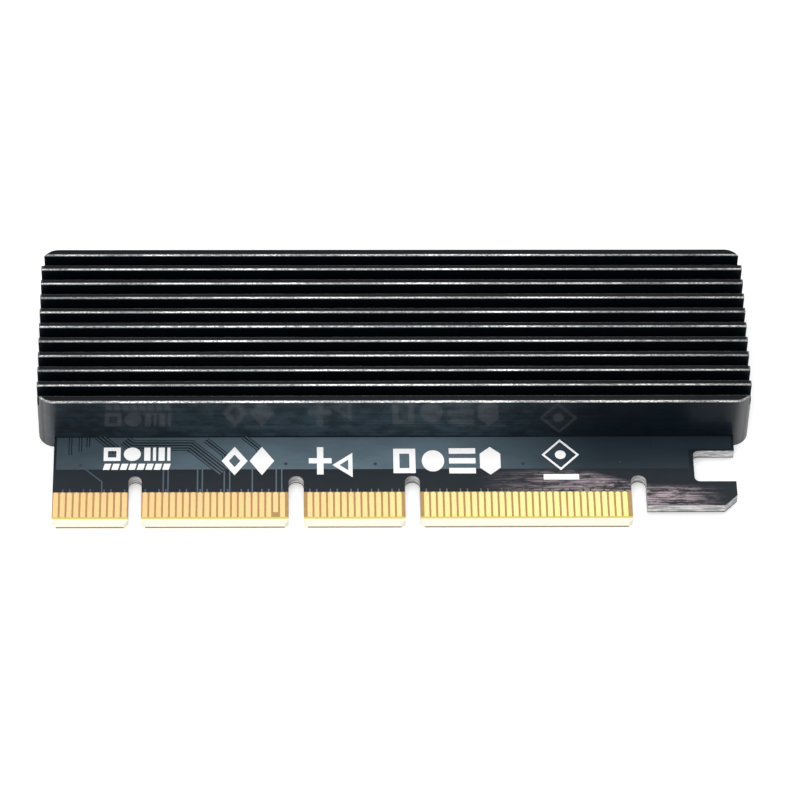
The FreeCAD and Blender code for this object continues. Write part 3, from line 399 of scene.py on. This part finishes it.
def spacer_brass():
    """Turned brass: fine rings about the spacer's own axis."""
    finish = Finish("spacer_brass", (0.72, 0.50, 0.22), 0.28, metallic=1.0)
    turned = finish.grain((4.0, 4.0, 0.05), detail=3.0)
    stain = finish.grain((1.2, 1.2, 1.2), detail=3.0)
    finish.set("Base Color", finish.blend(stain, (0.62, 0.42, 0.17), (0.80, 0.58, 0.28)))
    finish.set("Roughness", finish.between(turned, 0.2, 0.4))
    finish.set("Normal", finish.relief(turned, 0.006))
    return finish.material


def screw_steel():
    """Nickel plated steel, finely brushed."""
    finish = Finish("screw_steel", (0.58, 0.57, 0.55), 0.3, metallic=1.0)
    brushed = finish.grain((0.5, 0.08, 0.08), detail=3.0)
    finish.set("Base Color", finish.blend(brushed, (0.48, 0.47, 0.46), (0.70, 0.69, 0.66)))
    finish.set("Roughness", finish.between(brushed, 0.22, 0.42))
    finish.set("Normal", finish.relief(brushed, 0.005))
    return finish.material


def black_screw_steel():
    """Black plated screws, rubbed through to steel in small spots."""
    finish = Finish("black_screw_steel", (0.02, 0.02, 0.022), 0.38, metallic=1.0)
    rub = finish.rise(finish.grain((0.35, 0.35, 0.35), detail=4.0, roughness=0.65), 0.58, 0.72)
    finish.set("Base Color", finish.blend(rub, (0.035, 0.035, 0.038), (0.30, 0.30, 0.30)))
    finish.set("Roughness", finish.between(finish.grain((0.2, 0.2, 0.2)), 0.28, 0.48))
    finish.set("Normal", finish.relief(finish.grain((0.15, 0.15, 0.15)), 0.006))
    return finish.material


def silicone_pad():
    """Soft grey-blue pad with shallow dimples, which lets a little light in."""
    finish = Finish("silicone_pad", (0.36, 0.44, 0.50), 0.7)
    mottle = finish.grain((1.6, 1.6, 1.6), detail=5.0)
    dimples = finish.cells((0.7, 0.7, 0.7)).outputs["Distance"]
    finish.set("Base Color", finish.blend(mottle, (0.30, 0.38, 0.44), (0.44, 0.52, 0.58)))
    finish.set("Roughness", finish.between(mottle, 0.6, 0.8))
    finish.set("Normal", finish.relief(dimples, 0.03))
    finish.set("Subsurface Weight", 0.1)
    finish.set("Subsurface Radius", (0.5 * MM, 0.5 * MM, 0.6 * MM))
    return finish.material


def capacitor_ceramic():
    """Fired tan ceramic, slightly mottled."""
    finish = Finish("capacitor_ceramic", (0.42, 0.29, 0.18), 0.45)
    fired = finish.grain((0.3, 0.3, 0.3), detail=5.0)
    finish.set("Base Color", finish.blend(fired, (0.34, 0.23, 0.14), (0.52, 0.37, 0.24)))
    finish.set("Roughness", finish.between(fired, 0.35, 0.55))
    finish.set("Normal", finish.relief(fired, 0.008))
    return finish.material


def resistor_ceramic():
    """White ceramic under a black glaze on the top."""
    finish = Finish("resistor_ceramic", (0.03, 0.03, 0.034), 0.25)
    top = finish.rise(finish.facing_z, 0.4, 0.6)
    fired = finish.grain((0.25, 0.25, 0.25), detail=4.0)
    glaze = finish.blend(fired, (0.015, 0.015, 0.018), (0.035, 0.035, 0.04))
    finish.set("Base Color", finish.blend(top, (0.70, 0.69, 0.65), glaze))
    finish.set("Roughness", finish.between(fired, 0.2, 0.36))
    finish.set("Normal", finish.relief(fired, 0.006))
    return finish.material


def white_ink():
    """Screen-printed ink: not quite even, with a little of the board showing where it is thin."""
    finish = Finish("white_ink", (0.98, 0.98, 0.98), 0.5)
    screen = finish.grain((0.22, 0.22, 0.22), detail=3.0)
    thin = finish.rise(finish.grain((1.3, 1.3, 1.3), detail=5.0, roughness=0.65), 0.60, 0.82)
    finish.set("Base Color", finish.blend(finish.times(thin, 0.3), (1.0, 1.0, 1.0),
                                          (0.66, 0.70, 0.72)))
    finish.set("Roughness", finish.between(screen, 0.42, 0.6))
    finish.set("Normal", finish.relief(screen, 0.008))
    return finish.material


def via_pad():
    """The ring of a small plated hole, dark under the mask."""
    finish = Finish("via_pad", (0.03, 0.035, 0.042), 0.3)
    spot = finish.grain((0.2, 0.2, 0.2), detail=3.0)
    finish.set("Base Color", finish.blend(spot, (0.018, 0.022, 0.028), (0.060, 0.070, 0.078)))
    finish.set("Roughness", finish.between(spot, 0.2, 0.4))
    finish.set("Normal", finish.relief(spot, 0.01))
    return finish.material


FINISHES = {
    "black_anodised": black_anodised,
    "board_laminate": board_laminate,
    "gold_contact": gold_contact,
    "socket_plastic": socket_plastic,
    "spring_contact": spring_contact,
    "tinned_metal": tinned_metal,
    "spacer_brass": spacer_brass,
    "screw_steel": screw_steel,
    "black_screw_steel": black_screw_steel,
    "silicone_pad": silicone_pad,
    "capacitor_ceramic": capacitor_ceramic,
    "resistor_ceramic": resistor_ceramic,
}


def dress_model():
    """Give every part of the model the finish that its record names."""
    made = {slot: build() for slot, build in FINISHES.items()}
    for part in frame["record"]["subparts"]:
        piece = frame["nodes"][part["node"]]
        piece.data.materials.clear()
        piece.data.materials.append(made[part["material_slot"]])


# ---------------------------------------------------------------- pieces on the board


def piece_from(mesh, name, material):
    """Add a mesh to the scene as a piece that rides on the card."""
    mesh.materials.append(material)
    piece = bpy.data.objects.new(name, mesh)
    bpy.context.scene.collection.objects.link(piece)
    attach(piece, "root")
    return piece


def mesh_from(bm, name):
    """A named mesh made of what was drawn, with all its faces turned outward."""
    bmesh.ops.recalc_face_normals(bm, faces=bm.faces)
    mesh = bpy.data.meshes.new(name)
    bm.to_mesh(mesh)
    bm.free()
    return mesh


class Face:
    """One face of the board, on which flat pieces are laid at a height above it."""

    def __init__(self, level, up):
        self.level = level
        self.up = up

    def at(self, height):
        return self.level + self.up * height * MM


FRONT = Face(FRONT_FACE, 1.0)
REAR = Face(REAR_FACE, -1.0)


def plate(bm, corners, face, height):
    """A flat plate on a plan outline in millimetres, from the board's face up to a height."""
    bottom = bm.faces.new([bm.verts.new((x * MM, y * MM, face.at(0.0))) for x, y in corners])
    raised = bmesh.ops.extrude_face_region(bm, geom=[bottom])
    verts = [item for item in raised["geom"] if isinstance(item, bmesh.types.BMVert)]
    bmesh.ops.translate(bm, verts=verts, vec=(0.0, 0.0, face.at(height) - face.at(0.0)))


def disc(bm, x, y, radius, face, height, sides=24, turn=0.0, stretch=1.0):
    """A round or many-sided plate. Its stretch makes it taller than it is wide."""
    place = Matrix.Translation((x * MM, y * MM, face.at(height / 2)))
    shape = Matrix.Diagonal((1.0, stretch, 1.0, 1.0)) @ Matrix.Rotation(math.radians(turn), 4, "Z")
    made = bmesh.ops.create_cone(bm, cap_ends=True, segments=sides, radius1=radius * MM,
                                 radius2=radius * MM, depth=height * MM, matrix=place @ shape)
    return made["verts"]


def ring(bm, x, y, radius, stroke, face, height, sides=24, turn=0.0, stretch=1.0):
    """A flat ring: the ends of a disc are inset, and the inner faces are joined into a hole."""
    verts = disc(bm, x, y, radius, face, height, sides, turn, stretch)
    ends = [item for item in {side for vert in verts for side in vert.link_faces}
            if abs(item.normal.z) > 0.9]
    for end in ends:
        bmesh.ops.inset_region(bm, faces=[end], thickness=stroke * MM, use_even_offset=True)
    rims = [edge for end in ends for edge in end.edges]
    bmesh.ops.delete(bm, geom=ends, context="FACES_ONLY")
    bmesh.ops.bridge_loops(bm, edges=rims)


def bar(bm, x, y, width, depth, face, height, lean=0.0):
    """A bar of ink as wide along X and as deep along Y as told, upright or leaning."""
    across, along = width / 2, depth / 2
    corners = [(x - across - lean, y - along), (x + across - lean, y - along),
               (x + across + lean, y + along), (x - across + lean, y + along)]
    plate(bm, corners, face, height)


def beside(route, distance):
    """A route that runs beside another one at a distance to its left."""
    points = [Vector(point) for point in route]
    ahead = [(after - before).normalized() for before, after in zip(points, points[1:])]
    shifted = []
    for index, point in enumerate(points):
        one = ahead[max(index - 1, 0)]
        two = ahead[min(index, len(ahead) - 1)]
        left = Vector((-one.y - two.y, one.x + two.x)).normalized()
        lean = left.dot(Vector((-one.y, one.x)))
        shifted.append(point + left * (distance / lean))
    return shifted


def bundle(route, count, pitch):
    """The route itself and others beside it: to its left, or to its right at a pitch below 0."""
    return [beside(route, index * pitch) for index in range(count)]


def ribbons(bm, routes, width, face, height):
    """Flat tracks along routes, all of one width."""
    for route in routes:
        left = beside(route, width / 2)
        right = beside(route, -width / 2)
        plate(bm, [(p.x, p.y) for p in left + list(reversed(right))], face, height)


# Sizes of the tracks and of the small plated holes, in millimetres.
TRACK_WIDTH = 0.2
LANE = 0.48
TRACK_ROOM = 0.16
VIA_ROOM = 0.26
VIA_RADIUS = 0.2
VIA_STROKE = 0.09
CONTACT_WIDTH = 0.7

# Lines across the board that the copper starts and ends at, in millimetres.
COVER_LINE = COVER_LOW.y / MM - 0.1
POUR_LINE = COVER_LINE - 6.0
TRACK_LINE = POUR_LINE + 0.1
CONTACT_LINE = CONTACT_END / MM
STUB_LINE = CONTACT_LINE + 0.6
POUR_LEFT = BOARD_LOW.x / MM + 0.4
POUR_RIGHT = BOARD_HIGH.x / MM - 0.4
POUR_FAR = BOARD_HIGH.y / MM - 0.35

# Copper on the front face, between the cover's near wall and the contacts.
FRONT_POUR = [(POUR_LEFT, POUR_LINE), (43.2, POUR_LINE), (43.2, -9.3), (POUR_RIGHT, -9.3),
              (POUR_RIGHT, COVER_LINE), (POUR_LEFT, COVER_LINE)]
LONG_TURN = [(-39.1, COVER_LINE), (-38.3, -7.75), (-29.65, -7.75), (-24.55, TRACK_LINE)]
LEFT_TURN = [(-43.9, COVER_LINE), (-41.6, -9.25), (-41.6, -9.9)]
FRONT_TRACKS = [
    *bundle(LONG_TURN, 4, -LANE),
    *bundle(LEFT_TURN, 3, LANE),
    *bundle([(-27.9, -7.6), (-25.1, -10.4), (-25.1, -11.1)], 2, LANE),
    *bundle([(-22.4, COVER_LINE), (-20.1, -9.25), (-20.1, -10.4)], 2, LANE),
    [(-47.6, COVER_LINE), (-47.6, -10.2)],
    [(-46.15, COVER_LINE), (-46.15, -9.6)],
    [(-45.0, COVER_LINE), (-45.0, -8.8)],
]
OPEN_TRACKS = [[(-46.0, -12.25), (-42.85, -15.25), (-42.85, CONTACT_LINE)]]
FINGER_TRACKS = (-33.9, -33.2, -28.9, -28.2, -25.0, -24.2, -20.9, -17.4, -16.6)
FRONT_VIAS = [(-30.2, -9.5), (-16.0, -11.95), (-2.9, -12.0), (18.8, -12.0), (33.1, -11.8),
              (47.6, -7.7), (-46.0, -12.2), (38.2, -8.7)]

# Copper on the rear face, clear of the holes for the spacer, the screws and the socket's pegs.
REAR_POUR = [(POUR_LEFT, POUR_LINE), (43.0, POUR_LINE), (43.0, 4.4), (-24.5, 4.4), (-24.5, 11.6),
             (45.0, 11.6), (45.0, POUR_FAR), (-38.2, POUR_FAR), (-38.2, -6.6), (POUR_LEFT, -6.6)]

# Pairs of tracks on the rear face: the first one's place at the contacts, its place at the socket
# and the height that it ends at, each with the step to the next pair's.
PAIR_COUNT = 9
PAIR_SPACE = 0.42
PAIR_FOOT = CONTACT_LINE - 0.05
PAIR_TURN = -16.2
FIRST_START, START_STEP = -33.85, 2.0
FIRST_STOP, STOP_STEP = -36.6, 0.95
FIRST_TOP, TOP_STEP = -2.0, 2.0
LONGER_TRACK = 0.75
TRACK_OVERLAP = 0.02

# Holes that show on the rear face, in millimetres.
HOLE_SIDES = 40
SPACER_HOLES = (39.6, 19.6, 1.6, -10.4)
SPACER_LINE = 8.0
SCREW_COLUMNS = (-47.9, 47.9)
SCREW_ROWS = (-3.55, 17.45)

# Outer radius and stroke of the rings round those holes, in millimetres.
SPACER_PRINT = (3.15, 0.16)
SPACER_PAD = (2.75, 0.93)
SCREW_PAD = (2.05, 0.85)


def rear_pairs():
    """Pairs of tracks from the contacts to the pins of the module's socket, and their vias."""
    tracks = []
    vias = []
    for index in range(PAIR_COUNT):
        start = FIRST_START + START_STEP * index
        stop = FIRST_STOP + STOP_STEP * index
        top = FIRST_TOP + TOP_STEP * index
        beyond = stop + PAIR_SPACE
        shift = start - stop
        route = [(start, PAIR_FOOT), (start, PAIR_TURN), (stop, PAIR_TURN + shift), (stop, top)]
        tracks += bundle(route, 2, -PAIR_SPACE)
        tracks.append([(beyond, top - TRACK_OVERLAP), (beyond, top + LONGER_TRACK)])
        vias += [(stop, top), (beyond, top + LONGER_TRACK)]
    return tracks, vias


def finger_stubs(low, high, left_out):
    """Short ends of copper that run on from two contacts in three, over which the mask closes."""
    count = int(round((high - low) / MM - CONTACT_WIDTH)) + 1
    stubs = []
    for index in range(count):
        x = low / MM + CONTACT_WIDTH / 2 + index
        if index % 3 != left_out:
            stubs.append([(x, CONTACT_LINE), (x, STUB_LINE)])
    return stubs


def lay_copper(name, face, outline, tracks, vias, finishes):
    """Masked copper on one face: the pour, the gaps round the tracks, the tracks and the vias."""
    layers = {layer: bmesh.new() for layer in finishes}
    plate(layers["pour"], outline, face, POUR)
    ribbons(layers["gaps"], tracks, TRACK_WIDTH + 2 * TRACK_ROOM, face, GAP)
    ribbons(layers["tracks"], tracks, TRACK_WIDTH, face, TRACK)
    for x, y in vias:
        disc(layers["gaps"], x, y, VIA_ROOM, face, GAP, sides=16)
        ring(layers["vias"], x, y, VIA_RADIUS, VIA_STROKE, face, RING, sides=12)
    for layer, bm in layers.items():
        piece_from(mesh_from(bm, f"{name}_{layer}"), f"{name}_{layer}", finishes[layer])


def lay_open_tracks(face, track_finish):
    """Tracks on the bare laminate between the pour and the contacts."""
    bm = bmesh.new()
    straight = [[(x, TRACK_LINE), (x, CONTACT_LINE)] for x in FINGER_TRACKS]
    ribbons(bm, straight + OPEN_TRACKS, TRACK_WIDTH, face, TRACK)
    stubs = []
    for number, left_out in ((1, 0), (2, 1), (3, 2), (4, 1)):
        low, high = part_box(f"front_contacts_{number}")
        stubs += finger_stubs(low.x, high.x, left_out)
    ribbons(bm, stubs, TRACK_WIDTH, face, TRACK)
    piece_from(mesh_from(bm, "open_tracks"), "open_tracks", track_finish)


def frame_over_dashes(bm, x, y):
    """A square frame, a disc and four bars above a row of leaning dashes."""
    ring(bm, x, y, 1.75, 0.62, FRONT, INK, sides=4, turn=45.0)
    disc(bm, x + 2.95, y, 1.25, FRONT, INK)
    for index, width in enumerate((0.9, 0.45, 0.9, 0.45)):
        bar(bm, x + 5.15 + 1.05 * index, y, width, 2.45, FRONT, INK)
    for index in range(8):
        bar(bm, x - 0.7 + 1.24 * index, y - 2.35, 0.95, 1.1, FRONT, INK, lean=0.14)


def two_diamonds(bm, x, y):
    """Two tall diamonds, one open and one filled."""
    ring(bm, x, y, 1.9, 0.85, FRONT, INK, sides=4, stretch=1.4)
    disc(bm, x + 4.0, y, 1.8, FRONT, INK, sides=4, stretch=1.47)


def plus_and_triangle(bm, x, y):
    """A plus sign and an open triangle."""
    bar(bm, x, y, 0.95, 5.1, FRONT, INK)
    for side in (-1, 1):
        bar(bm, x + 1.075 * side, y, 1.2, 0.95, FRONT, INK)
    ring(bm, x + 3.75, y - 0.8, 1.95, 0.62, FRONT, INK, sides=3, turn=90.0, stretch=1.35)


def four_shapes(bm, x, y):
    """A square frame, a disc, three level bars and a hexagon."""
    ring(bm, x, y, 2.3, 0.9, FRONT, INK, sides=4, turn=45.0, stretch=1.4)
    disc(bm, x + 4.2, y, 1.65, FRONT, INK, stretch=1.2)
    for level in (1, 0, -1):
        bar(bm, x + 8.5, y + 1.85 * level, 3.9, 1.0, FRONT, INK)
    disc(bm, x + 12.6, y, 1.75, FRONT, INK, sides=6, stretch=1.48)


def diamond_over_bar(bm, x, y):
    """A thin diamond with a dot in it, over a bar."""
    ring(bm, x, y, 2.75, 0.3, FRONT, INK, sides=4, stretch=1.05)
    disc(bm, x, y, 0.8, FRONT, INK)
    bar(bm, x, y - 4.15, 5.2, 1.0, FRONT, INK)


# The marks from left to right, each with the middle of its first shape in millimetres.
MARKS = (
    (frame_over_dashes, -41.45, -10.1),
    (two_diamonds, -23.5, -11.4),
    (plus_and_triangle, -10.95, -11.4),
    (four_shapes, 1.4, -11.45),
    (diamond_over_bar, 24.35, -10.35),
)


def print_marks(ink):
    """Plain shapes in white ink along the front of the card."""
    bm = bmesh.new()
    for draw, x, y in MARKS:
        draw(bm, x, y)
    piece_from(mesh_from(bm, "front_print"), "front_print", ink)


def rear_marks(ink):
    """White rings round the holes for the spacer, and dashes that point at the socket."""
    bm = bmesh.new()
    for x in SPACER_HOLES:
        ring(bm, x, SPACER_LINE, *SPACER_PRINT, REAR, INK, sides=HOLE_SIDES)
    for index in range(5):
        bar(bm, -45.0, 3.2 + 2.4 * index, 0.9, 0.25, REAR, INK)
    piece_from(mesh_from(bm, "rear_print"), "rear_print", ink)


def hole_pads(metal):
    """Plated rings round the spacer's holes and under the heads of the cover's screws."""
    bm = bmesh.new()
    for x in SPACER_HOLES:
        ring(bm, x, SPACER_LINE, *SPACER_PAD, REAR, RING, sides=HOLE_SIDES)
    for x in SCREW_COLUMNS:
        for y in SCREW_ROWS:
            ring(bm, x, y, *SCREW_PAD, REAR, POUR, sides=HOLE_SIDES)
    piece_from(mesh_from(bm, "hole_pads"), "hole_pads", metal)


def dress_board():
    """Lay the copper, the print and the plated rings on both faces of the board."""
    copper = {
        "pour": masked_copper("masked_pour", (0.008, 0.014, 0.021), (0.112, 0.160, 0.194)),
        "gaps": masked_copper("masked_gap", (0.004, 0.007, 0.011), (0.022, 0.034, 0.044)),
        "tracks": masked_copper("masked_track", (0.022, 0.032, 0.042), (0.110, 0.150, 0.178)),
        "vias": via_pad(),
    }
    ink = white_ink()
    lay_copper("front", FRONT, FRONT_POUR, FRONT_TRACKS, FRONT_VIAS, copper)
    lay_open_tracks(FRONT, copper["tracks"])
    pairs, vias = rear_pairs()
    lay_copper("rear", REAR, REAR_POUR, pairs, vias, copper)
    print_marks(ink)
    rear_marks(ink)
    hole_pads(bpy.data.materials["gold_contact"])


# ---------------------------------------------------------------- camera, floor and light


# The camera's place and what it looks at, its lens in millimetres and its turn in radians.
STATION = Vector((-17.8, -443.71, 540.67)) * MM
TARGET = Vector((0.97, 0.16, 2.2)) * MM
LENS = 211.8
SENSOR = 36.0
TURN = 0.0309

# How strongly the floor glows for the rays that show it, how strongly the surroundings light the
# card, and how far the floor reaches in metres.
FLOOR_GLOW = 0.42
WORLD_LIGHT = 0.62
FLOOR_REACH = 6.0


def camera():
    """A long lens above and in front of the card, turned a little about its own axis."""
    lens = bpy.data.cameras.new("camera")
    lens.lens = LENS
    lens.sensor_width = SENSOR
    lens.clip_end = 10.0
    holder = bpy.data.objects.new("camera", lens)
    holder.location = STATION
    aim = (TARGET - STATION).to_track_quat("-Z", "Y")
    holder.rotation_euler = (aim @ Quaternion((0.0, 0.0, 1.0), TURN)).to_euler()
    bpy.context.scene.collection.objects.link(holder)
    bpy.context.scene.camera = holder


def either(nodes, links, *masks):
    """1 where any of the masks is."""
    result = masks[0]
    for mask in masks[1:]:
        larger = nodes.new("ShaderNodeMath")
        larger.operation = "MAXIMUM"
        links.new(result, larger.inputs[0])
        links.new(mask, larger.inputs[1])
        result = larger.outputs[0]
    return result


def seen(nodes, links):
    """The rays that show the surroundings as white: from the camera, off metal or through glass."""
    path = nodes.new("ShaderNodeLightPath").outputs
    return either(nodes, links, path["Is Camera Ray"], path["Is Glossy Ray"],
                  path["Is Transmission Ray"])


def floor_finish():
    """Pale paint that also glows, and that lets light and the eye through from below."""
    material = bpy.data.materials.new("pale_floor")
    material.use_nodes = True
    nodes = material.node_tree.nodes
    links = material.node_tree.links
    shader = nodes["Principled BSDF"]
    shader.inputs["Base Color"].default_value = (0.80, 0.80, 0.80, 1.0)
    shader.inputs["Roughness"].default_value = 0.9
    shader.inputs["Specular IOR Level"].default_value = 0.0
    glow = nodes.new("ShaderNodeEmission")
    level = nodes.new("ShaderNodeMath")
    level.operation = "MULTIPLY"
    level.inputs[1].default_value = FLOOR_GLOW
    links.new(seen(nodes, links), level.inputs[0])
    links.new(level.outputs[0], glow.inputs["Strength"])
    both = nodes.new("ShaderNodeAddShader")
    links.new(shader.outputs[0], both.inputs[0])
    links.new(glow.outputs[0], both.inputs[1])
    path = nodes.new("ShaderNodeLightPath").outputs
    from_below = nodes.new("ShaderNodeNewGeometry").outputs["Backfacing"]
    clear = nodes.new("ShaderNodeBsdfTransparent")
    choose = nodes.new("ShaderNodeMixShader")
    links.new(either(nodes, links, from_below, path["Is Shadow Ray"]), choose.inputs[0])
    links.new(both.outputs[0], choose.inputs[1])
    links.new(clear.outputs[0], choose.inputs[2])
    links.new(choose.outputs[0], nodes["Material Output"].inputs["Surface"])
    return material


def floor():
    """A pale floor that shows white, keeps the card's shadow and lets the underside be lit."""
    bm = bmesh.new()
    bmesh.ops.create_grid(bm, x_segments=1, y_segments=1, size=FLOOR_REACH)
    mesh = mesh_from(bm, "floor")
    ground = bpy.data.objects.new("floor", mesh)
    mesh.materials.append(floor_finish())
    bpy.context.scene.collection.objects.link(ground)


def world():
    """Even white surroundings, which light the card less strongly than they show."""
    surroundings = bpy.data.worlds.new("studio")
    bpy.context.scene.world = surroundings
    surroundings.use_nodes = True
    nodes = surroundings.node_tree.nodes
    links = surroundings.node_tree.links
    background = nodes["Background"]
    background.inputs["Color"].default_value = (1.0, 1.0, 1.0, 1.0)
    level = nodes.new("ShaderNodeMapRange")
    level.inputs["To Min"].default_value = WORLD_LIGHT
    level.inputs["To Max"].default_value = 1.0
    links.new(seen(nodes, links), level.inputs["Value"])
    links.new(level.outputs[0], background.inputs["Strength"])


def lamp(name, position, size, power):
    """A square soft lamp that faces the middle of the card. Its size is in metres."""
    light = bpy.data.lights.new(name, "AREA")
    light.shape = "SQUARE"
    light.size = size
    light.energy = power
    holder = bpy.data.objects.new(name, light)
    holder.location = position
    holder.rotation_euler = (-Vector(position)).to_track_quat("-Z", "Y").to_euler()
    bpy.context.scene.collection.objects.link(holder)


def lighting():
    """Three lamps: in front, overhead, and under the floor for the underside."""
    lamp("front_panel", (-0.25, -0.75, 0.55), 0.6, 4.5)
    lamp("top_panel", (0.1, 0.25, 1.0), 0.8, 4.0)
    lamp("under_panel", (-0.1, -0.3, -0.9), 0.8, 5.0)


dress_model()
dress_board()
camera()
floor()
world()
lighting()

bpy.context.scene.view_settings.view_transform = "Standard"
